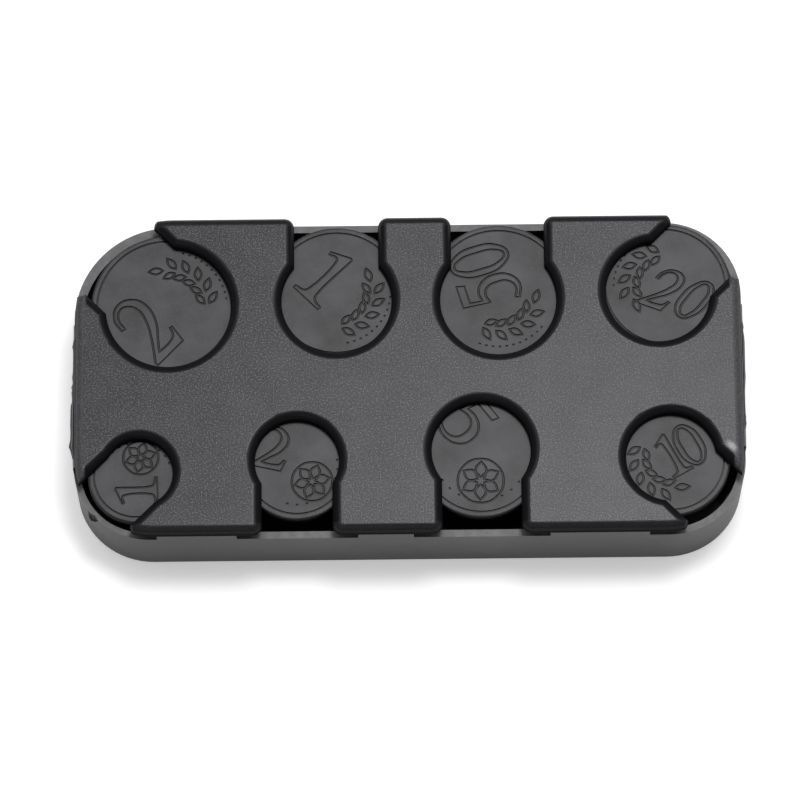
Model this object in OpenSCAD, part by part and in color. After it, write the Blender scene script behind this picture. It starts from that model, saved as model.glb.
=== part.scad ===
// Coin dispenser: a tray with eight round wells, a cover plate with keyhole cut-outs,
// and in each well a coin-sized platform that a spring pushes up against the cover.
// Millimetres. Origin under the middle of the tray, +X right, +Y back, +Z up.
// Pockets run left to right, four in the back row and then four in the front row.

/* [Tray] */
// Length of the tray, left to right
body_w = 112.4; // [112:0.2:124]
// Depth of the tray, front to back
body_d = 55; // [54.8:0.2:62]
// Height of the low rim that a coin slides over
rim_h = 13.5; // [12.7:0.2:20.1]
// Thickness of the outer wall
wall_t = 1.2; // [1:0.1:1.3]
// Thickness of the floor
floor_t = 1.2; // [0.8:0.1:2]
// Corner radius, back left
corner_back_left = 16.3; // [16:0.1:16.5]
// Corner radius, back right
corner_back_right = 13; // [12.8:0.1:13.4]
// Corner radius, front right
corner_front_right = 13; // [12.5:0.1:13.5]
// Corner radius, front left
corner_front_left = 13; // [12.8:0.1:13.2]
// Extra rounding of the wall inside its two back corners, which widens the rim there
web_back = 1; // [0.9:0.1:1.2]
// Extra rounding inside the front right corner
web_front_right = 0; // [0:0.1:0.3]
// Extra rounding inside the front left corner, less than none for a narrow rim
web_front_left = -0.8; // [-1:0.1:-0.8]

/* [Coins] */
// Coin diameters of the back row
back_coins = [25.75, 23.25, 24.25, 22.25]; // [16:0.05:26]
// Coin diameters of the front row
front_coins = [16.25, 18.75, 21.25, 19.75]; // [16:0.05:22]
// Play of a coin across its well, all round
well_play = 0.35; // [0.25:0.05:0.45]
// Height of the slot that a coin leaves by, over the thickest coin
exit_gap = 2.5; // [2.4:0.1:3.6]
// Play beside a coin in the slots of the long sides
side_play = 0.75; // [0.4:0.05:1.2]
// Play beside a coin in the corner slots, towards the short side
end_play = 0.3; // [0.2:0.05:0.6]
// Play beside a coin in the corner slots, towards the long side
long_play = 1.6; // [0.8:0.1:1.8]

/* [Pocket places] */
// Cut-outs of the back row, as shares of half the length
back_x = [-0.717, -0.2135, 0.2705, 0.749]; // [-1:0.001:1]
// Cut-outs of the back row, as shares of half the depth
back_y = [0.4436, 0.4764, 0.4764, 0.5127]; // [0:0.001:1]
// Cut-outs of the front row, as shares of half the length
front_x = [-0.805, -0.3345, 0.2126, 0.7758]; // [-1:0.001:1]
// Cut-outs of the front row, as shares of half the depth
front_y = [-0.6109, -0.5455, -0.4873, -0.5455]; // [-1:0.001:0]
// How far the back wells lie nearer to their mouths than the cut-outs
back_shift = [0.25, 1.7, 1.35, 1.75]; // [0:0.05:1.75]
// How far the front wells lie nearer to their mouths than the cut-outs
front_shift = [0.4, 0.55, 0.85, 0]; // [0:0.05:1.5]

/* [Cover] */
// Thickness of the cover plate
cover_t = 2; // [1.6:0.1:3]
// How far the cover stands back from the short sides of the tray
end_inset = 0.35; // [0:0.05:0.5]
// How far the cover stands out over the long sides of the tray
long_overhang = 0.2; // [0:0.05:0.4]
// Overlap of the cover on a coin, all round
lip = 2.35; // [1.8:0.05:2.6]
// Rounding of every upper edge of the cover
edge_r = 1.5; // [0.6:0.1:1.5]
// Corner radius of the fingers, seen from above
finger_r = 1.6; // [1.6:0.2:1.8]
// Widths of the mouths in the back row
back_mouths = [16.2, 14.2, 15.7, 13.6]; // [8:0.1:18]
// Widths of the mouths in the front row
front_mouths = [11.1, 11.8, 13.2, 12.1]; // [8:0.1:16]

/* [Wells] */
// Wall of the round sleeve about a coin stack
sleeve_t = 1.5; // [1.4:0.05:1.6]
// How far the sleeve is cut down below the rim on the side of the mouth
sleeve_drop = 8; // [2:0.5:8]

/* [Platforms] */
// Thickness of the coin-sized disc
disc_t = 1.5; // [1.3:0.1:2]
// Gap from the disc to the cover at rest
rest_gap = 0.25; // [0.2:0.05:0.4]
// Step from the disc in to the skirt below it
skirt_step = 1.2; // [1:0.1:1.5]
// Height of the skirt that keeps the platform in its well
skirt_h = 4.8; // [3:0.1:5]
// Wall of the skirt
skirt_t = 1; // [0.8:0.1:1.2]
// Rounding of the disc's upper edge
disc_edge_r = 0.4; // [0.2:0.1:0.6]
// Distance of the ring groove from the disc's edge
groove_in = 0.85; // [0.7:0.05:1.8]
// Width of the ring groove
groove_w = 0.35; // [0.3:0.05:0.6]
// Depth of the ring groove
groove_depth = 0.3; // [0.2:0.05:0.6]
// Room left under the skirt at the end of the travel
foot_gap = 0.25; // [0.2:0.05:0.6]

/* [Springs] */
// Diameter at the middle of the wire
spring_d = 9.6; // [9:0.1:10]
// Diameter of the wire
wire_d = 0.7; // [0.5:0.05:0.75]
// Turns of one spring
spring_turns = 6; // [5:0.5:6]
// How much closer the turns lie near the ends
end_closing = 0.45; // [0:0.05:0.5]
// Play between the spring and the stubs that centre it
stub_play = 0.35; // [0.25:0.05:0.5]
// Height of those stubs
stub_h = 1.6; // [1:0.1:2]
// Gap from the spring to its seats
seat_gap = 0.05; // [0.02:0.01:0.1]

/* [Hidden] */
$fn = 96;

// Heights
cover_z = rim_h + exit_gap;
disc_z = cover_z - rest_gap - disc_t;
skirt_z = disc_z - skirt_h;
travel = skirt_z - floor_t - foot_gap;

// Cover
cover_w = body_w - 2 * end_inset;
cover_d = body_d + 2 * long_overhang;

// Pockets, back row and then front row
coins = concat(back_coins, front_coins);
mouths = concat(back_mouths, front_mouths);
mouth_angles = [135, 90, 90, 45, 225, 270, 270, 315];
shifts = concat(back_shift, front_shift);
hole_xs = concat(back_x, front_x) * body_w / 2;
hole_ys = concat(back_y, front_y) * body_d / 2;
POCKETS = [0 : 7];
SIDE_POCKETS = [1, 2, 5, 6];
// Pointed fingers beside the corner pockets that have a rounded tip, as pocket and side of its mouth
ROUND_TIPS = [[0, -1], [0, 1], [3, -1], [3, 1], [4, 1], [7, -1]];
// Corner of the tray that a pocket opens at, 0 where it opens at a straight side
corner_webs = [web_back, web_back, web_front_right, web_front_left];
NO_WEBS = [0, 0, 0, 0];
corner_rs = [corner_back_left, 0, 0, corner_back_right, corner_front_left, 0, 0, corner_front_right];

function coin_r(i) = coins[i] / 2;
function hole_r(i) = coin_r(i) - lip;
function bore_r(i) = coin_r(i) + well_play;
function mouth_way(i) = [cos(mouth_angles[i]), sin(mouth_angles[i])];
function across(i) = [-mouth_way(i)[1], mouth_way(i)[0]];
function hole_at(i) = [hole_xs[i], hole_ys[i]];
function well_at(i) = hole_at(i) + shifts[i] * mouth_way(i);
function slot_play(i, side) =
    corner_rs[i] == 0 ? side_play : side * across(i)[0] * hole_xs[i] > 0 ? end_play : long_play;

// Fingers of the cover: middle of the corner rounding beside a mouth, and the way out to the edge there
function arc_r(i) = corner_rs[i] - finger_r + TIP_PROUD;
function arc_centre(i) = [
    sign(hole_xs[i]) * (cover_w / 2 - corner_rs[i]),
    sign(hole_ys[i]) * (cover_d / 2 - corner_rs[i])
];
function proud(i) = corner_rs[i] == 0 ? 0 : TIP_PROUD;
function finger_line(i, side) = hole_at(i) + side * (mouths[i] / 2 + finger_r - proud(i)) * across(i);
function round_reach(i, from) =
    let (along = from * mouth_way(i))
    sqrt(along * along - from * from + arc_r(i) * arc_r(i)) - along;
function finger_reach(i, side) =
    corner_rs[i] == 0
    ? cover_d / 2 - finger_r - abs(hole_ys[i])
    : round_reach(i, finger_line(i, side) - arc_centre(i));
function finger_centre(i, side) = finger_line(i, side) + finger_reach(i, side) * mouth_way(i);
function finger_out(i, side) =
    corner_rs[i] == 0 ? mouth_way(i) : (finger_centre(i, side) - arc_centre(i)) / arc_r(i);

// Springs
spring_r = spring_d / 2;
stub_r = spring_r - wire_d / 2 - stub_play;
spring_low = floor_t + seat_gap + wire_d / 2;
spring_high = disc_z - seat_gap - wire_d / 2;
RINGS_PER_TURN = 8;
WIRE_SIDES = 6;
ring_count = round(spring_turns * RINGS_PER_TURN);

// Cutters run past the faces that they cut
PAST = 1;
FAR = 60;
// The rounding of a pointed fingertip stands this far proud of its walls, so that the surfaces cross
TIP_PROUD = 0.3;
// Sleeves end inside the outer wall, and stubs start inside the floor
SLEEVE_SINK = 0.6;
STUB_SINK = 0.4;

echo(travel = travel);
echo(spring_least_gap = spring_gap());

// Upright slab of a given length and depth with the four corner radii, drawn in by an inset,
// its corners rounded more by their webs
module slab(w, d, inset, h, webs = NO_WEBS) {
    x = w / 2 - inset;
    y = d / 2 - inset;
    bl = corner_back_left - inset + webs[0];
    br = corner_back_right - inset + webs[1];
    fr = corner_front_right - inset + webs[2];
    fl = corner_front_left - inset + webs[3];
    union() {
        linear_extrude(h) polygon([
            [-x, y - bl], [-x + bl, y - bl], [-x + bl, y], [x - br, y], [x - br, y - br], [x, y - br],
            [x, -y + fr], [x - fr, -y + fr], [x - fr, -y], [-x + fl, -y], [-x + fl, -y + fl], [-x, -y + fl]
        ]);
        translate([-x + bl, y - bl]) quarter_post(bl, 90, h);
        translate([x - br, y - br]) quarter_post(br, 0, h);
        translate([x - fr, -y + fr]) quarter_post(fr, 270, h);
        translate([-x + fl, -y + fl]) quarter_post(fl, 180, h);
    }
}

module quarter_post(r, turn, h) {
    rotate(turn) rotate_extrude(angle = 90) square([r, h]);
}

// Lays its children at a pocket, +X towards the mouth
module at_well(i) {
    translate(well_at(i)) rotate(mouth_angles[i]) children();
}

module at_hole(i) {
    translate(hole_at(i)) rotate(mouth_angles[i]) children();
}

// Tray

module base_tray() color("#3a3a3d") {
    difference() {
        union() {
            shell();
            for (i = POCKETS) sleeve(i);
        }
        for (i = POCKETS) translate([0, 0, floor_t]) at_well(i) cylinder(h = FAR, r = bore_r(i));
    }
    for (i = POCKETS) translate([0, 0, floor_t - STUB_SINK]) at_well(i) stub();
}

// Short post that centres the foot of a spring
module stub() {
    cylinder(h = stub_h + STUB_SINK, r = stub_r);
}

// Floor and outer wall, with a slot over the rim for each coin
module shell() {
    difference() {
        slab(body_w, body_d, 0, cover_z);
        translate([0, 0, floor_t]) slab(body_w, body_d, wall_t, cover_z, corner_webs);
        for (i = POCKETS) translate([0, 0, rim_h]) at_well(i) slot(i);
    }
}

// Way out of a coin over the rim
module slot(i) {
    low_side = coin_r(i) + slot_play(i, -1);
    high_side = coin_r(i) + slot_play(i, 1);
    translate([0, -low_side, 0]) cube([FAR, low_side + high_side, FAR]);
}

// Round guide of a coin stack before it is bored, up to the cover behind the coin and low towards the mouth
module sleeve(i) {
    low_z = rim_h - sleeve_drop;
    intersection() {
        slab(body_w, body_d, SLEEVE_SINK, cover_z);
        at_well(i) difference() {
            cylinder(h = cover_z, r = bore_r(i) + sleeve_t);
            translate([0, -FAR / 2, low_z]) cube([FAR, FAR, FAR]);
        }
    }
}

// Cover

module cover_plate() color("#4a4a4e") translate([0, 0, cover_z]) {
    difference() {
        difference() {
            difference() {
                rounded_plate();
                for (i = POCKETS) keyhole(i);
            }
            for (i = SIDE_POCKETS, side = [-1, 1]) finger_corner(i, side);
        }
        for (tip = ROUND_TIPS) finger_corner(tip[0], tip[1]);
    }
}

module rounded_plate() {
    difference() {
        slab(cover_w, cover_d, 0, cover_t);
        outer_edges();
    }
}

// Section of a cut whose wall lies at x and rounds outwards into the cover's top
module flared_cut(x) {
    translate([0, -PAST]) square([x, cover_t + 2 * PAST]);
    translate([x, cover_t - edge_r]) difference() {
        translate([-x / 2, 0]) square([x / 2 + edge_r, edge_r + PAST]);
        translate([edge_r, 0]) circle(edge_r);
    }
}

// Round hole over a well, with the mouth that opens it to the outside
module keyhole(i) {
    at_hole(i) {
        rotate_extrude() flared_cut(hole_r(i));
        rotate([90, 0, 90]) linear_extrude(FAR) {
            flared_cut(mouths[i] / 2);
            mirror([1, 0]) flared_cut(mouths[i] / 2);
        }
    }
}

// Section of the cut that rounds an upper outer edge at x = 0
module edge_cut() {
    translate([-edge_r, cover_t - edge_r]) difference() {
        square(edge_r + PAST);
        circle(edge_r);
    }
}

module outer_edges() {
    x = cover_w / 2;
    y = cover_d / 2;
    bl = corner_back_left;
    br = corner_back_right;
    fr = corner_front_right;
    fl = corner_front_left;
    straight_edge([-x + bl, y], 90, 2 * x - bl - br);
    straight_edge([x, y - br], 0, 2 * y - br - fr);
    straight_edge([x - fr, -y], 270, 2 * x - fr - fl);
    straight_edge([-x, -y + fl], 180, 2 * y - fl - bl);
    round_edge([-x + bl, y - bl], 90, bl);
    round_edge([x - br, y - br], 0, br);
    round_edge([x - fr, -y + fr], 270, fr);
    round_edge([-x + fl, -y + fl], 180, fl);
}

// Edge that faces the given way and runs clockwise from its start
module straight_edge(start, facing, length) {
    translate(start) rotate(facing) rotate([90, 0, 0]) linear_extrude(length) edge_cut();
}

module round_edge(centre, turn, r) {
    translate(centre) rotate(turn) rotate_extrude(angle = 90) translate([r, 0]) edge_cut();
}

// Rounds the corner where the wall of a mouth meets the outer edge
module finger_corner(i, side) {
    to_mouth = -side * across(i) * (finger_r + PAST);
    to_edge = finger_out(i, side) * (finger_r + PAST);
    tip = (to_mouth + to_edge) / (1 + to_mouth * to_edge / pow(finger_r + PAST, 2));
    translate(finger_centre(i, side)) difference() {
        translate([0, 0, -PAST]) linear_extrude(cover_t + 2 * PAST) polygon([[0, 0], to_mouth, tip, to_edge]);
        rotate_extrude() finger_section();
    }
}

// Half section of a round post with the cover's rounded upper edge
module finger_section() {
    translate([0, -2 * PAST]) square([finger_r, cover_t - edge_r + 2 * PAST]);
    translate([0, -PAST]) square([finger_r - edge_r, cover_t + PAST]);
    intersection() {
        translate([finger_r - edge_r, cover_t - edge_r]) circle(edge_r);
        translate([0, -PAST]) square([finger_r, cover_t + PAST]);
    }
}

// Platforms

module plunger(i) {
    r = coin_r(i);
    skirt_r = r - skirt_step;
    translate([well_at(i)[0], well_at(i)[1], disc_z]) {
        rotate_extrude() disc_section(r);
        translate([0, 0, -skirt_h]) difference() {
            cylinder(h = skirt_h, r = skirt_r);
            translate([0, 0, -PAST]) cylinder(h = skirt_h + PAST, r = skirt_r - skirt_t);
        }
        translate([0, 0, -stub_h]) cylinder(h = stub_h, r = stub_r);
    }
}

// Half section of the disc: rounded upper edge and a ring groove
module disc_section(r) {
    difference() {
        square([r, disc_t]);
        translate([r - disc_edge_r, disc_t - disc_edge_r]) difference() {
            square(disc_edge_r + PAST);
            circle(disc_edge_r);
        }
        translate([r - groove_in - groove_w, disc_t - groove_depth]) square([groove_w, groove_depth + PAST]);
    }
}

module plunger_back_1() color("#55555a") plunger(0);
module plunger_back_2() color("#55555a") plunger(1);
module plunger_back_3() color("#55555a") plunger(2);
module plunger_back_4() color("#55555a") plunger(3);
module plunger_front_1() color("#55555a") plunger(4);
module plunger_front_2() color("#55555a") plunger(5);
module plunger_front_3() color("#55555a") plunger(6);
module plunger_front_4() color("#55555a") plunger(7);

// Springs

// Middle of the wire at ring k of a spring, the turns lying closer near both ends
function spring_z(k) =
    let (share = k / (ring_count - 1))
    spring_low + (spring_high - spring_low) * (share - end_closing * sin(360 * share) / (2 * PI));

function ring_angle(k) = 360 * k / RINGS_PER_TURN;

function wire_at(k) = [spring_r * cos(ring_angle(k)), spring_r * sin(ring_angle(k)), spring_z(k)];

function wire_point(k, s) =
    let (around = 360 * s / WIRE_SIDES + 90, out = spring_r + wire_d / 2 * cos(around))
    [out * cos(ring_angle(k)), out * sin(ring_angle(k)), spring_z(k) + wire_d / 2 * sin(around)];

// Least gap of the wire to itself, between rings at least half a turn apart
function spring_gap() = min([
    for (k = [0 : ring_count - 1], other = [k + RINGS_PER_TURN / 2 : 1 : ring_count - 1])
        norm(wire_at(other) - wire_at(k)) - wire_d
]);

module spring(i) {
    points = [for (k = [0 : ring_count - 1], s = [0 : WIRE_SIDES - 1]) wire_point(k, s)];
    last = (ring_count - 1) * WIRE_SIDES;
    sides = [
        for (k = [0 : ring_count - 2], s = [0 : WIRE_SIDES - 1], half = [0, 1])
            let (a = k * WIRE_SIDES + s, b = k * WIRE_SIDES + (s + 1) % WIRE_SIDES)
            half == 0 ? [a, a + WIRE_SIDES, b] : [b, a + WIRE_SIDES, b + WIRE_SIDES]
    ];
    start_cap = [for (s = [1 : WIRE_SIDES - 2]) [0, s, s + 1]];
    end_cap = [for (s = [1 : WIRE_SIDES - 2]) [last, last + s + 1, last + s]];
    translate([well_at(i)[0], well_at(i)[1], 0]) polyhedron(points, concat(sides, start_cap, end_cap));
}

module spring_back_1() color("#b8bcc0") spring(0);
module spring_back_2() color("#b8bcc0") spring(1);
module spring_back_3() color("#b8bcc0") spring(2);
module spring_back_4() color("#b8bcc0") spring(3);
module spring_front_1() color("#b8bcc0") spring(4);
module spring_front_2() color("#b8bcc0") spring(5);
module spring_front_3() color("#b8bcc0") spring(6);
module spring_front_4() color("#b8bcc0") spring(7);

base_tray();
cover_plate();
plunger_back_1();
plunger_back_2();
plunger_back_3();
plunger_back_4();
plunger_front_1();
plunger_front_2();
plunger_front_3();
plunger_front_4();
spring_back_1();
spring_back_2();
spring_back_3();
spring_back_4();
spring_front_1();
spring_front_2();
spring_front_3();
spring_front_4();
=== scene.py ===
import math

import bpy
from mathutils import Matrix, Vector


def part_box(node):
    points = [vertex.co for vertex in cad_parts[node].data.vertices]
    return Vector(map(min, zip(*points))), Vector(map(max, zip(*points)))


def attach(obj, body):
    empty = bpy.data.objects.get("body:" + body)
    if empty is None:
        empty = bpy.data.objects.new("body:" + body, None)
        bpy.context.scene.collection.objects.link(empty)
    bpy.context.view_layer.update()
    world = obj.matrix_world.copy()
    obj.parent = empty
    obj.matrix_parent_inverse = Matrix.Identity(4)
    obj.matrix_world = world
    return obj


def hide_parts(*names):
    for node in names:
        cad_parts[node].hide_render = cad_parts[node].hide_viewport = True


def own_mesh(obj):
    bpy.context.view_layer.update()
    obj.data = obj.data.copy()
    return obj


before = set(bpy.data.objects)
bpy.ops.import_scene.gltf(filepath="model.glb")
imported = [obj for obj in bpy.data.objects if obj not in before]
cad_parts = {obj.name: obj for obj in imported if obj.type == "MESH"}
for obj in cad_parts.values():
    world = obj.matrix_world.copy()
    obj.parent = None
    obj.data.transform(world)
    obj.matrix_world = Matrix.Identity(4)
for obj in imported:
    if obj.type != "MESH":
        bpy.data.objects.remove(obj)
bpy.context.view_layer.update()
scene = bpy.context.scene

# Units
MM = 0.001

# Vertices closer than this are one
WELD_GAP = 0.001 * MM

# Edges that turn by less than this are shaded smooth
DISC_SMOOTHING = math.radians(28)
BAR_SMOOTHING = math.radians(50)

# Heights of the frame, in metres
DISC_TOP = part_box("plunger_back_1")[1].z
SPRING_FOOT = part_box("spring_back_1")[0].z
SPRING_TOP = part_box("spring_back_1")[1].z
RIM_TOP = 13.5 * MM

# Engraving of a platform: its number, with height and place in mm, turn and slant in degrees, width
# as a share of the outlines' own and spacing as a share of the height, then the ornament and its way
# from the middle in degrees
PLATFORMS = {
    "back_1": dict(number="2", height=12.3, width=0.68, place=(-3.8, -3.6), turn=46,
                   ornament="sprig", way=42),
    "back_2": dict(number="1", height=10.4, width=0.87, place=(-1.75, 2.95), turn=-45,
                   ornament="sprig", way=-42),
    "back_3": dict(number="50", height=10.2, width=0.7, spacing=0.57, place=(-2.3, 3.1), turn=107,
                   ornament="sprig", way=-75),
    "back_4": dict(number="20", height=7.6, width=0.81, spacing=0.76, slant=18, place=(2.3, -1.5),
                   turn=-21, ornament="sprig", way=140),
    "front_1": dict(number="1", height=7.0, width=1.0, place=(0.0, -2.8), turn=92,
                    ornament="rosette", way=78),
    "front_2": dict(number="2", height=7.4, width=0.95, place=(-4.3, 3.2), turn=-13,
                    ornament="rosette", way=-48),
    "front_3": dict(number="5", height=9.0, width=0.95, place=(-2.3, 6.2), turn=-52,
                    ornament="rosette", way=-92),
    "front_4": dict(number="10", height=7.6, width=0.78, spacing=0.48, place=(1.6, 1.5), turn=29,
                    ornament="sprig", way=205),
}

# Outlines of the numerals at a height of 1: x, y, and whether the line turns sharply there
NUMERALS = {
    "0": [
        [(0.05, 0.5, 0), (0.16, 0.86, 0), (0.42, 1.0, 0), (0.68, 0.86, 0),
         (0.79, 0.5, 0), (0.68, 0.14, 0), (0.42, 0.0, 0), (0.16, 0.14, 0)],
        [(0.21, 0.5, 0), (0.27, 0.82, 0), (0.42, 0.93, 0), (0.57, 0.82, 0),
         (0.63, 0.5, 0), (0.57, 0.18, 0), (0.42, 0.07, 0), (0.27, 0.18, 0)],
    ],
    "1": [
        [(0.16, 0.0, 1), (0.16, 0.05, 1), (0.34, 0.09, 0), (0.38, 0.16, 0), (0.38, 0.78, 0),
         (0.34, 0.84, 0), (0.18, 0.8, 1), (0.17, 0.85, 1), (0.53, 1.0, 1), (0.57, 0.98, 1),
         (0.57, 0.16, 0), (0.61, 0.09, 0), (0.79, 0.05, 1), (0.79, 0.0, 1)],
    ],
    "2": [
        [(0.08, 0.7, 1), (0.15, 0.89, 0), (0.42, 1.0, 0), (0.71, 0.91, 0), (0.81, 0.72, 0),
         (0.7, 0.46, 0), (0.46, 0.26, 0), (0.28, 0.12, 1), (0.62, 0.12, 0), (0.74, 0.16, 0),
         (0.8, 0.26, 1), (0.85, 0.25, 1), (0.79, 0.0, 1), (0.07, 0.0, 1), (0.07, 0.05, 1),
         (0.37, 0.32, 0), (0.57, 0.56, 0), (0.63, 0.74, 0), (0.55, 0.88, 0), (0.38, 0.93, 0),
         (0.21, 0.85, 0), (0.16, 0.69, 1)],
    ],
    "5": [
        [(0.22, 1.0, 1), (0.78, 1.0, 1), (0.74, 0.87, 1), (0.29, 0.87, 1), (0.26, 0.66, 1),
         (0.47, 0.68, 0), (0.71, 0.57, 0), (0.8, 0.34, 0), (0.7, 0.1, 0), (0.41, -0.02, 0),
         (0.1, 0.05, 1), (0.12, 0.12, 1), (0.36, 0.06, 0), (0.55, 0.14, 0), (0.61, 0.34, 0),
         (0.54, 0.52, 0), (0.38, 0.58, 0), (0.17, 0.54, 1)],
    ],
}
NUMERAL_MIDDLE = (0.44, 0.5)

# Sprig: rings as shares of the disc's radius, leaves as length and half width in mm, and the steps
# along the twig at which leaves and dots stand
TWIG_RING = 0.52
SPRIG_DOT_RING = 0.78
LEAF_GAP = 2.1
LEAF_LEAN = 52
LEAF_BELLY = 0.45
OUTER_LEAF = (2.5, 0.55)
INNER_LEAF = (2.3, 0.5)
TIP_LEAF = (2.6, 0.55)
STALK = 0.35
LEAF_STEPS = range(-2, 3)
TIP_STEP = 3
DOT_GAP = 1.15
DOT_HALF = 0.16
SPRIG_DOTS = range(-5, 6)

# Rosette: its place, size and ring of dots as shares of the disc's radius, petals as shares of its own
ROSETTE_PLACE = 0.4
ROSETTE_SIZE = 0.36
ROSETTE_KNOTS = 8
ROSETTE_DOT_RING = 0.72
ROSETTE_DOT_TURN = 14
ROSETTE_DOTS = (-4, -3, -2, 2, 3, 4)
PETALS = 6
PETAL_FOOT = 0.16
PETAL_LENGTH = 0.72
PETAL_HALF = 0.24

# Lines of the engraving, as left by a ball-ended cutter
LINE_RADIUS = 0.24 * MM
LINE_SINK = 0.05 * MM
CUTTER_BEVEL = 1
CUTTER_STEPS = 4

# Flash that stands out of the seam on the short sides: place along the side and height, in mm
FLASH_LEFT = [
    (6.9, 0.0), (6.2, 0.1), (5.6, 0.22), (5.0, 0.08), (3.2, 0.06), (1.2, 0.1), (0.2, 0.2),
    (-0.5, 0.1), (-1.0, 0.12), (-1.5, 0.33), (-2.0, 0.2), (-2.5, 0.28), (-3.5, 0.2), (-4.1, 0.2),
    (-4.7, 0.36), (-5.3, 0.42), (-7.2, 0.44), (-8.3, 0.46), (-9.4, 0.4), (-10.4, 0.42),
    (-11.0, 0.46), (-11.5, 0.6), (-12.0, 0.66), (-12.5, 0.42), (-13.1, 0.26), (-13.7, 0.12),
    (-14.2, 0.0),
]
FLASH_RIGHT = [
    (8.9, 0.0), (8.4, 0.08), (7.9, 0.16), (7.4, 0.08), (6.9, 0.12), (6.3, 0.2), (5.3, 0.25),
    (3.7, 0.24), (2.1, 0.22), (0.5, 0.2), (-0.6, 0.24), (-1.6, 0.2), (-2.2, 0.14), (-3.2, 0.06),
    (-5.3, 0.04), (-7.2, 0.06), (-7.9, 0.12), (-8.4, 0.1), (-9.0, 0.17), (-9.5, 0.08), (-10.0, 0.0),
]
FLASH_ROOT = 0.2

# Burr on the rim at the front left corner: place and thickness, in mm
BURR = [
    ((-53.6, -22.35, 13.3), 0.1), ((-53.35, -22.75, 13.2), 0.35), ((-53.15, -23.2, 13.1), 0.5),
    ((-52.85, -23.6, 13.1), 0.55), ((-52.4, -23.9, 13.15), 0.35), ((-52.1, -24.0, 13.25), 0.1),
]
BEAD_BEVEL = 2

# Springs
WIRE_RADIUS = 0.35 * MM
WIRE_BEVEL = 3
SPRING_RADIUS = 4.8 * MM
SPRING_TURNS = 5.875
END_CLOSING = 0.45
WIRE_STEPS = 200


# Helpers for objects

def activate(obj):
    bpy.ops.object.select_all(action="DESELECT")
    obj.select_set(True)
    bpy.context.view_layer.objects.active = obj


def apply_modifier(obj, kind, **settings):
    activate(obj)
    modifier = obj.modifiers.new(kind.title(), kind)
    for key, value in settings.items():
        setattr(modifier, key, value)
    bpy.ops.object.modifier_apply(modifier=modifier.name)


def as_mesh(obj):
    activate(obj)
    bpy.ops.object.convert(target="MESH")
    return bpy.context.view_layer.objects.active


def weld(obj):
    """Joins the vertices of a mesh that lie on one another."""
    activate(obj)
    bpy.ops.object.mode_set(mode="EDIT")
    bpy.ops.mesh.select_all(action="SELECT")
    bpy.ops.mesh.remove_doubles(threshold=WELD_GAP)
    bpy.ops.object.mode_set(mode="OBJECT")


def link(obj):
    scene.collection.objects.link(obj)
    return obj


def centre_of(node):
    low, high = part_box(node)
    return (low + high) / 2


# Helpers for materials

def linear(hex_colour):
    """Linear RGBA of an sRGB hex colour."""
    parts = [int(hex_colour[i:i + 2], 16) / 255 for i in (1, 3, 5)]
    return [c / 12.92 if c <= 0.04045 else ((c + 0.055) / 1.055) ** 2.4 for c in parts] + [1.0]


def set_inputs(tree, node, inputs):
    """Gives each named socket of a node a value, or the output of another node."""
    for key, value in inputs.items():
        if isinstance(value, bpy.types.NodeSocket):
            tree.links.new(value, node.inputs[key])
        else:
            node.inputs[key].default_value = value


def add_node(tree, kind, inputs=None, **settings):
    """Adds a shader node with its settings and inputs."""
    node = tree.nodes.new(kind)
    for key, value in settings.items():
        setattr(node, key, value)
    set_inputs(tree, node, inputs or {})
    return node


def mix(tree, factor, first, second):
    """Colour between two colours."""
    inputs = {"Factor": factor, "A": first, "B": second}
    return add_node(tree, "ShaderNodeMix", inputs, data_type="RGBA").outputs["Result"]


def ramp(tree, value, low=0.0, high=1.0, start=0.0, end=1.0):
    """Value that goes from start to end while the given one goes from low to high."""
    inputs = {"Value": value, "From Min": low, "From Max": high, "To Min": start, "To Max": end}
    return add_node(tree, "ShaderNodeMapRange", inputs).outputs["Result"]


def calculate(tree, operation, *values):
    inputs = dict(enumerate(values))
    return add_node(tree, "ShaderNodeMath", inputs, operation=operation).outputs["Value"]


def noise(tree, place, size, detail, roughness=0.5):
    """Noise with patches of the given size."""
    inputs = {"Vector": place, "Scale": 1 / size, "Detail": detail, "Roughness": roughness}
    return add_node(tree, "ShaderNodeTexNoise", inputs).outputs["Fac"]


def split(tree, vector):
    """The three parts of a vector."""
    return add_node(tree, "ShaderNodeSeparateXYZ", {"Vector": vector}).outputs


def distance(tree, place, spot, turn, stretch):
    """Distance from a spot, measured along turned and stretched axes."""
    inputs = {"Vector": place, "Location": spot, "Rotation": (0, 0, turn), "Scale": stretch}
    local = add_node(tree, "ShaderNodeMapping", inputs, vector_type="TEXTURE").outputs["Vector"]
    return add_node(tree, "ShaderNodeVectorMath", {0: local}, operation="LENGTH").outputs["Value"]


def new_material(name):
    material = bpy.data.materials.new(name)
    material.use_nodes = True
    tree = material.node_tree
    return material, tree, tree.nodes["Principled BSDF"]


# Camera, fitted to the circles of the cut-outs in the photograph

CAMERA_ELEVATION = math.radians(72.49)
CAMERA_AZIMUTH = math.radians(-0.22)
CAMERA_ROLL = math.radians(-0.38)
CAMERA_DISTANCE = 925.5 * MM
CAMERA_RIGHT = 1.49 * MM
CAMERA_UP = -0.68 * MM
FOCAL_PIXELS = 5433
IMAGE_PIXELS = 800
SENSOR_MM = 36
CLIP_NEAR = 10 * MM
CLIP_FAR = 20


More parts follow.
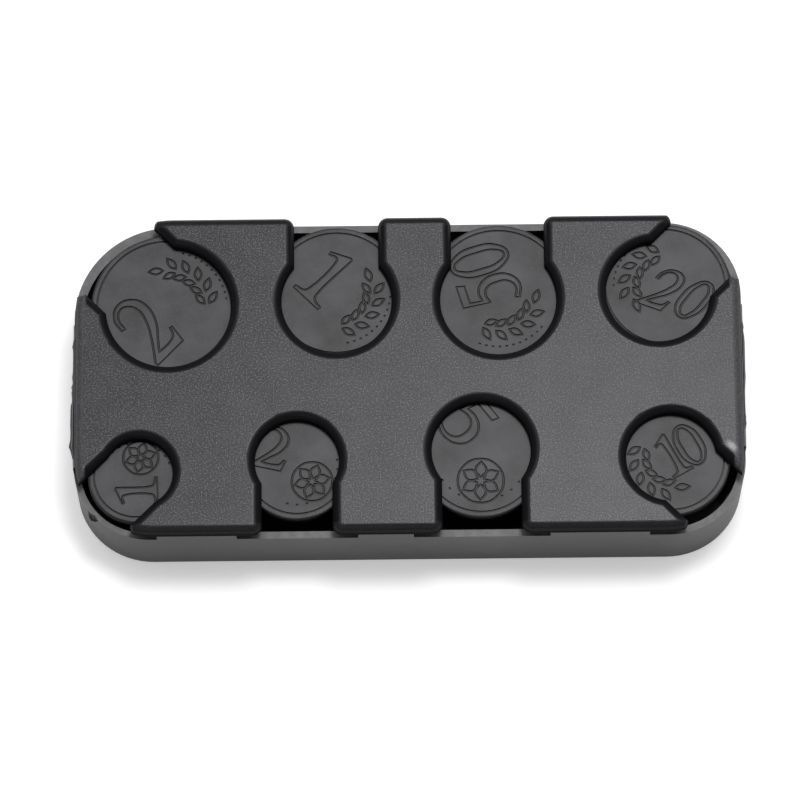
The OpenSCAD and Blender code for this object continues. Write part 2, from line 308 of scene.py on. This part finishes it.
def make_camera():
    level = math.cos(CAMERA_ELEVATION)
    sideways = math.sin(CAMERA_AZIMUTH)
    forward = math.cos(CAMERA_AZIMUTH)
    back = Vector((sideways * level, -forward * level, math.sin(CAMERA_ELEVATION)))
    level_right = Vector((forward, sideways, 0))
    level_up = back.cross(level_right)
    right = math.cos(CAMERA_ROLL) * level_right + math.sin(CAMERA_ROLL) * level_up
    up = back.cross(right)
    place = back * CAMERA_DISTANCE - right * CAMERA_RIGHT - up * CAMERA_UP
    data = bpy.data.cameras.new("camera")
    data.sensor_width = SENSOR_MM
    data.lens = FOCAL_PIXELS / IMAGE_PIXELS * SENSOR_MM
    data.clip_start = CLIP_NEAR
    data.clip_end = CLIP_FAR
    camera = link(bpy.data.objects.new("camera", data))
    turn = Matrix((right, up, back)).transposed()
    camera.matrix_world = Matrix.Translation(place) @ turn.to_4x4()
    scene.camera = camera


# Light and floor

TABLE_SIZE = 6
TABLE_GAP = 0.02 * MM
TABLE_GLOW = 0.4
STUDIO_STRENGTH = 0.15

# Lamps that face the origin: place and size in metres, power in watts
LAMPS = {
    "softbox": dict(place=(0.05, 0.3, 1.12), size=(1.7, 0.75), watts=7.6),
    "softbox_middle": dict(place=(0.12, 0.23, 1.1), size=(0.28, 0.22), watts=5),
    "front_fill": dict(place=(-0.25, -0.9, 0.9), size=(0.6, 0.4), watts=0.6),
}


def make_lamp(name, place, size, watts):
    data = bpy.data.lights.new(name, "AREA")
    data.shape = "RECTANGLE"
    data.size, data.size_y = size
    data.energy = watts
    lamp = link(bpy.data.objects.new(name, data))
    lamp.location = place
    lamp.rotation_euler = (-Vector(place)).to_track_quat("-Z", "Y").to_euler()


def white_table():
    """White table that glows a little to the eye alone and is clear from below, so that the underside
    can be seen."""
    material, tree, shader = new_material("white_table")
    ray = add_node(tree, "ShaderNodeLightPath").outputs
    plain = calculate(tree, "MAXIMUM", ray["Is Camera Ray"], ray["Is Glossy Ray"])
    seen = calculate(tree, "MAXIMUM", plain, ray["Is Transmission Ray"])
    below = add_node(tree, "ShaderNodeNewGeometry").outputs["Backfacing"]
    set_inputs(tree, shader, {
        "Base Color": linear("#f2f2f2"),
        "Roughness": 0.9,
        "Specular IOR Level": 0.1,
        "Emission Color": linear("#ffffff"),
        "Emission Strength": calculate(tree, "MULTIPLY", seen, TABLE_GLOW),
        "Alpha": calculate(tree, "SUBTRACT", 1.0, below),
    })
    return material


def make_stage():
    """Table in an even grey room, under a wide softbox with a brighter middle."""
    bpy.ops.mesh.primitive_plane_add(size=TABLE_SIZE, location=(0, 0, -TABLE_GAP))
    floor = bpy.context.object
    floor.name = "floor"
    floor.data.materials.append(white_table())
    world = bpy.data.worlds.new("studio")
    world.use_nodes = True
    room = world.node_tree
    background = {"Color": linear("#e6e8ea"), "Strength": STUDIO_STRENGTH}
    set_inputs(room, room.nodes["Background"], background)
    scene.world = world
    for name, lamp in LAMPS.items():
        make_lamp(name, **lamp)
    scene.view_settings.view_transform = "Standard"


# Materials

# Grain and clouds of the cover, and where its outer edges begin, in from the sides
COVER_GRAIN = 0.25 * MM
COVER_GRAIN_DEPTH = 0.022 * MM
COVER_CLOUD = 6 * MM
COVER_EDGE_START = 1.9 * MM
COVER_EDGE_FULL = 1.6 * MM

# Whitish spot on the front right finger
WHITISH_SPOT_PLACE = (53.7 * MM, -13.5 * MM, 18 * MM)
WHITISH_SPOT_TURN = math.radians(-45)
WHITISH_SPOT_STRETCH = (1.4, 0.75, 1)
WHITISH_SPOT_UNEVEN = 1.2 * MM
WHITISH_SPOT_CORE = 0.9 * MM
WHITISH_SPOT_END = 1.6 * MM


def cover_plastic():
    """Black ABS from a spark-eroded mould: a grey top with fine bright specks and one whitish spot,
    edges of the cut-outs polished dark, outer edges that keep some of the grain under a painted
    highlight that lifts them lighter than the top, and upright sides painted darker still as shade.
    The grain of the top, about 0.1 mm in the real one, is drawn at 0.25 mm so that it shows."""
    material, tree, shader = new_material("abs_moulded_spark_textured")
    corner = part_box("cover_plate")[1]
    coords = add_node(tree, "ShaderNodeTexCoord").outputs
    place = coords["Object"]
    spot = split(tree, place)
    facing_up = split(tree, coords["Normal"])["Z"]
    grain = noise(tree, place, COVER_GRAIN, detail=1.0)
    cloud = noise(tree, place, COVER_CLOUD, detail=4.0)

    rubbed = ramp(tree, cloud, low=0.3, high=0.7)
    ground = mix(tree, rubbed, linear("#252529"), linear("#333337"))
    speck = ramp(tree, grain, low=0.5, high=0.75, end=0.75)
    speckled = mix(tree, speck, ground, linear("#707073"))
    # Whitish spot, #a6a6a8, mixed into the top on the front right finger
    away = distance(tree, place, WHITISH_SPOT_PLACE, WHITISH_SPOT_TURN, WHITISH_SPOT_STRETCH)
    uneven = calculate(tree, "MULTIPLY_ADD", grain, WHITISH_SPOT_UNEVEN, away)
    whitish_spot = ramp(tree, uneven, low=WHITISH_SPOT_CORE, high=WHITISH_SPOT_END, start=0.8, end=0.0)
    top = mix(tree, whitish_spot, speckled, linear("#a6a6a8"))

    lengthways = calculate(tree, "ABSOLUTE", spot["X"])
    across = calculate(tree, "ABSOLUTE", spot["Y"])
    short_side = ramp(tree, lengthways, corner.x - COVER_EDGE_START, corner.x - COVER_EDGE_FULL)
    long_side = ramp(tree, across, corner.y - COVER_EDGE_START, corner.y - COVER_EDGE_FULL, end=0.16)
    outer = calculate(tree, "MAXIMUM", short_side, long_side)
    # The outer rounding keeps the grain and is mixed towards #6a6a6d: a painted highlight that lifts it
    # against its own shading
    grain_with_painted_highlight = mix(tree, 0.3, top, linear("#6a6a6d"))
    polished = mix(tree, outer, linear("#17171a"), grain_with_painted_highlight)
    # Where the rounding turns upright its colour goes to #060607, painted shade
    rounding = ramp(tree, facing_up, low=0.15, high=0.6)
    edge_and_painted_shade = mix(tree, rounding, linear("#060607"), polished)
    edge_rough = ramp(tree, rounding, start=0.95, end=0.3)

    flat = ramp(tree, facing_up, low=0.992, high=0.9995)
    relief = {"Strength": flat, "Distance": COVER_GRAIN_DEPTH, "Height": grain}
    set_inputs(tree, shader, {
        "Base Color": mix(tree, flat, edge_and_painted_shade, top),
        "Roughness": ramp(tree, flat, start=edge_rough, end=0.25),
        "Normal": add_node(tree, "ShaderNodeBump", relief).outputs["Normal"],
        "Specular IOR Level": 0.13,
    })
    return material


# Clouds of the tray, and the heights below the top of the rim between which the wear sets in
TRAY_CLOUD = 9 * MM
TRAY_PATCH = 1.4 * MM
WEAR_START = 0.3 * MM
WEAR_FULL = 0.1 * MM

# Painted shadow under the burr, near black, on the burr and the wall below it
BURR_SHADOW_PLACE = (-53.3 * MM, -23.75 * MM, 12.9 * MM)
BURR_SHADOW_TURN = math.radians(-49)
BURR_SHADOW_STRETCH = (1.3, 1, 0.9)
BURR_SHADOW_UNEVEN = 0.6 * MM
BURR_SHADOW_CORE = 1.3 * MM
BURR_SHADOW_END = 1.6 * MM


def tray_plastic():
    """Black ABS from a plainly ground mould: satin, with faint clouds, rubbed grey along the top of the
    rim and the seam under the cover, where coins and hands pass, and a painted shadow, near black,
    under the burr at one corner."""
    material, tree, shader = new_material("abs_moulded_satin")
    coords = add_node(tree, "ShaderNodeTexCoord").outputs
    place = coords["Object"]
    facing_up = split(tree, coords["Normal"])["Z"]
    cloud = noise(tree, place, TRAY_CLOUD, detail=4.0)
    patch = noise(tree, place, TRAY_PATCH, detail=5.0)

    upward = ramp(tree, facing_up, low=0.9, high=0.99)
    high = ramp(tree, split(tree, place)["Z"], low=RIM_TOP - WEAR_START, high=RIM_TOP - WEAR_FULL)
    rim = calculate(tree, "MULTIPLY", upward, high)
    patchy = ramp(tree, patch, low=0.4, high=0.7, start=0.6, end=1.0)
    worn = calculate(tree, "MULTIPLY", rim, patchy)
    plain = mix(tree, cloud, linear("#303032"), linear("#38383a"))
    rubbed = mix(tree, worn, plain, linear("#6c6c6e"))

    # Painted shadow, #0a0a0b, on the burr and the wall under it
    away = distance(tree, place, BURR_SHADOW_PLACE, BURR_SHADOW_TURN, BURR_SHADOW_STRETCH)
    uneven = calculate(tree, "MULTIPLY_ADD", patch, BURR_SHADOW_UNEVEN, away)
    painted_burr_shadow = ramp(tree, uneven, low=BURR_SHADOW_CORE, high=BURR_SHADOW_END, start=0.9, end=0.0)
    set_inputs(tree, shader, {
        "Base Color": mix(tree, painted_burr_shadow, rubbed, linear("#0a0a0b")),
        "Roughness": ramp(tree, cloud, start=0.42, end=0.54),
        "Specular IOR Level": 0.34,
    })
    return material


# Clouds and dust of the platforms, and the depths between which the rubbed top turns to black, painted
# shade
PLATFORM_CLOUD = 8 * MM
PLATFORM_DUST = 0.3 * MM
PAINTED_SHADE_DEPTH = 0.12 * MM
RUBBED_DEPTH = 0.02 * MM


def platform_plastic():
    """Black polystyrene, matt: coins have rubbed the top grey in soft clouds, and below the top it
    turns black, partly the plastic's own black where coins do not rub and partly painted shade in the
    engraved lines and down the sides. Its dust, finer than 0.1 mm in the real one, is drawn at 0.3 mm
    so that it shows."""
    material, tree, shader = new_material("polystyrene_moulded_matt")
    place = add_node(tree, "ShaderNodeTexCoord").outputs["Object"]
    height = split(tree, place)["Z"]
    cloud = noise(tree, place, PLATFORM_CLOUD, detail=4.0, roughness=0.6)
    dust = noise(tree, place, PLATFORM_DUST, detail=1.0)

    rubbed = ramp(tree, cloud, low=0.3, high=0.7)
    clouded = mix(tree, rubbed, linear("#2f2f31"), linear("#4c4c4f"))
    speck = ramp(tree, dust, low=0.5, high=0.8, end=0.35)
    dusty = mix(tree, speck, clouded, linear("#5c5c5e"))
    # Below the top the colour turns to #0c0c0d: painted shade in the engraved lines and down the sides,
    # where the rubbed grey also ends
    top_above_painted_shade = ramp(tree, height, low=DISC_TOP - PAINTED_SHADE_DEPTH, high=DISC_TOP - RUBBED_DEPTH)
    set_inputs(tree, shader, {
        "Base Color": mix(tree, top_above_painted_shade, linear("#0c0c0d"), dusty),
        "Roughness": ramp(tree, dust, start=0.37, end=0.46),
        "Specular IOR Level": 0.2,
    })
    return material


WIRE_PATCH = 1.1 * MM


def spring_wire():
    """Bright drawn spring steel, with a polish that changes a little along the wire."""
    material, tree, shader = new_material("spring_steel_drawn")
    place = add_node(tree, "ShaderNodeTexCoord").outputs["Object"]
    patch = noise(tree, place, WIRE_PATCH, detail=2.0)
    set_inputs(tree, shader, {
        "Base Color": linear("#b9bcbf"),
        "Metallic": 1.0,
        "Roughness": ramp(tree, patch, start=0.22, end=0.38),
    })
    return material


# Lines of the engraving, in mm from the middle of a disc

def turned(points, degrees, shift):
    """Points turned about the origin and then moved."""
    cosine = math.cos(math.radians(degrees))
    sine = math.sin(math.radians(degrees))
    moved = []
    for x, y, sharp in points:
        moved.append((cosine * x - sine * y + shift[0], sine * x + cosine * y + shift[1], sharp))
    return moved


def on_disc(radius, degrees):
    return (radius * math.cos(math.radians(degrees)), radius * math.sin(math.radians(degrees)))


def numeral_lines(number, height, width, spacing, slant, place, turn):
    lean = math.tan(math.radians(slant))
    lines = []
    for index, digit in enumerate(number):
        shift = (index - (len(number) - 1) / 2) * spacing
        for outline in NUMERALS[digit]:
            flat = []
            for x, y, sharp in outline:
                rise = y - NUMERAL_MIDDLE[1]
                along = (x - NUMERAL_MIDDLE[0]) * width + shift + rise * lean
                flat.append((along * height, rise * height, sharp))
            lines.append(turned(flat, turn, place))
    return lines


def leaf(length, half_width, turn, place):
    belly = LEAF_BELLY * length
    shape = [(0, 0, 1), (belly, half_width, 0), (length, 0, 1), (belly, -half_width, 0)]
    return turned(shape, turn, place)


def dot(radius, degrees):
    return turned([(-DOT_HALF, 0, 1), (DOT_HALF, 0, 1)], degrees, on_disc(radius, degrees))


def sprig_lines(radius, way):
    """Leaves on both sides of a twig that bends round the disc, and a row of dots outside it."""
    twig = TWIG_RING * radius
    dot_ring = SPRIG_DOT_RING * radius
    leaf_step = math.degrees(LEAF_GAP / twig)
    dot_step = math.degrees(DOT_GAP / dot_ring)
    leaves = []
    for k in LEAF_STEPS:
        at = way + k * leaf_step
        leaves.append(leaf(*OUTER_LEAF, at + LEAF_LEAN, on_disc(twig + STALK, at)))
        leaves.append(leaf(*INNER_LEAF, at + 180 - LEAF_LEAN, on_disc(twig - STALK, at)))
    tip = way + TIP_STEP * leaf_step
    leaves.append(leaf(*TIP_LEAF, tip + 90, on_disc(twig, tip)))
    dots = [dot(dot_ring, way + k * dot_step) for k in SPRIG_DOTS]
    return leaves, dots


def rosette_lines(radius, way):
    """Six petals in a ring, and a row of dots on either side."""
    middle_x, middle_y = on_disc(ROSETTE_PLACE * radius, way)
    size = ROSETTE_SIZE * radius
    ring = []
    for k in range(ROSETTE_KNOTS):
        x, y = on_disc(size, 360 / ROSETTE_KNOTS * k)
        ring.append((middle_x + x, middle_y + y, 0))
    closed = [ring]
    for k in range(PETALS):
        turn = way + 360 / PETALS * k
        x, y = on_disc(PETAL_FOOT * size, turn)
        foot = (middle_x + x, middle_y + y)
        closed.append(leaf(PETAL_LENGTH * size, PETAL_HALF * size, turn, foot))
    dot_ring = ROSETTE_DOT_RING * radius
    dots = [dot(dot_ring, way + ROSETTE_DOT_TURN * k) for k in ROSETTE_DOTS]
    return closed, dots


# Pieces

def dress(node, material):
    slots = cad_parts[node].data.materials
    slots.clear()
    slots.append(material)


def engraving_cutter(name, closed, dots, centre):
    """Round cutter that follows every line of a platform's engraving."""
    data = bpy.data.curves.new(name, "CURVE")
    data.dimensions = "3D"
    data.bevel_depth = LINE_RADIUS
    data.bevel_resolution = CUTTER_BEVEL
    data.resolution_u = CUTTER_STEPS
    data.use_fill_caps = True
    for points, is_closed in [(line, True) for line in closed] + [(line, False) for line in dots]:
        spline = data.splines.new("BEZIER")
        spline.bezier_points.add(len(points) - 1)
        spline.use_cyclic_u = is_closed
        for knot, (x, y, sharp) in zip(spline.bezier_points, points):
            knot.co = (centre.x + x * MM, centre.y + y * MM, DISC_TOP - LINE_SINK)
            kind = "VECTOR" if sharp else "AUTO"
            knot.handle_left_type = kind
            knot.handle_right_type = kind
    return as_mesh(link(bpy.data.objects.new(name, data)))


def make_platform(name, material, number, height, width, place, turn, ornament, way,
                  spacing=0, slant=0):
    """The platform of the frame, with its number and ornament engraved."""
    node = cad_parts["plunger_" + name]
    low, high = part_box("plunger_" + name)
    radius = (high.x - low.x) / 2 / MM
    piece = link(bpy.data.objects.new("platform_" + name, node.data.copy()))
    activate(piece)
    bpy.ops.mesh.customdata_custom_splitnormals_clear()
    weld(piece)
    make_ornament = sprig_lines if ornament == "sprig" else rosette_lines
    closed, dots = make_ornament(radius, way)
    closed += numeral_lines(number, height, width, spacing, slant, place, turn)
    cutter = engraving_cutter("cutter_" + name, closed, dots, centre_of("plunger_" + name))
    apply_modifier(piece, "BOOLEAN", operation="DIFFERENCE", object=cutter, solver="EXACT",
                   use_self=True)
    bpy.data.objects.remove(cutter)
    activate(piece)
    bpy.ops.object.shade_smooth_by_angle(angle=DISC_SMOOTHING)
    piece.data.materials.clear()
    piece.data.materials.append(material)
    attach(piece, "platform_" + name)
    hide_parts("plunger_" + name)


def bar_along(name, knots, bevel):
    """Round bar, closed at both ends, through knots that each have a place and a radius in metres."""
    data = bpy.data.curves.new(name, "CURVE")
    data.dimensions = "3D"
    data.bevel_depth = 1
    data.bevel_resolution = bevel
    data.use_fill_caps = True
    spline = data.splines.new("POLY")
    spline.points.add(len(knots) - 1)
    for point, (place, radius) in zip(spline.points, knots):
        point.co = (*place, 1)
        point.radius = radius
    piece = as_mesh(link(bpy.data.objects.new(name, data)))
    weld(piece)
    bpy.ops.object.shade_smooth_by_angle(angle=BAR_SMOOTHING)
    return piece


def make_spring(name, material):
    """One round wire, wound closer at both ends."""
    centre = centre_of("spring_" + name)
    foot, top = SPRING_FOOT + WIRE_RADIUS, SPRING_TOP - WIRE_RADIUS
    knots = []
    for k in range(WIRE_STEPS + 1):
        share = k / WIRE_STEPS
        angle = 2 * math.pi * SPRING_TURNS * share
        rise = share - END_CLOSING * math.sin(2 * math.pi * share) / (2 * math.pi)
        x = centre.x + SPRING_RADIUS * math.cos(angle)
        y = centre.y + SPRING_RADIUS * math.sin(angle)
        knots.append(((x, y, foot + (top - foot) * rise), WIRE_RADIUS))
    piece = bar_along("coil_" + name, knots, WIRE_BEVEL)
    piece.data.materials.append(material)
    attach(piece, "housing")
    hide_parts("spring_" + name)
    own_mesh(piece)


def make_bead(name, knots, material):
    """Bead of plastic that the mould has left on the tray, through knots in mm."""
    in_metres = [([c * MM for c in place], radius * MM) for place, radius in knots]
    piece = bar_along(name, in_metres, BEAD_BEVEL)
    piece.data.materials.append(material)
    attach(piece, "housing")


def seam_knots(side, flash):
    """Knots of a bead along the seam under the cover, with its root inside the wall, in mm."""
    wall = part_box("base_tray")[1].x / MM
    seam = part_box("cover_plate")[0].z / MM
    knots = []
    for y, height in flash:
        radius = (FLASH_ROOT + height) / 2
        knots.append(((side * (wall - FLASH_ROOT + radius), y, seam), radius))
    return knots


def make_all():
    make_camera()
    make_stage()
    dress("cover_plate", cover_plastic())
    moulding = tray_plastic()
    dress("base_tray", moulding)
    make_bead("flash_left", seam_knots(-1, FLASH_LEFT), moulding)
    make_bead("flash_right", seam_knots(1, FLASH_RIGHT), moulding)
    make_bead("burr_front_left", BURR, moulding)
    disc = platform_plastic()
    wire = spring_wire()
    for name, engraving in PLATFORMS.items():
        make_platform(name, disc, **engraving)
        make_spring(name, wire)


make_all()
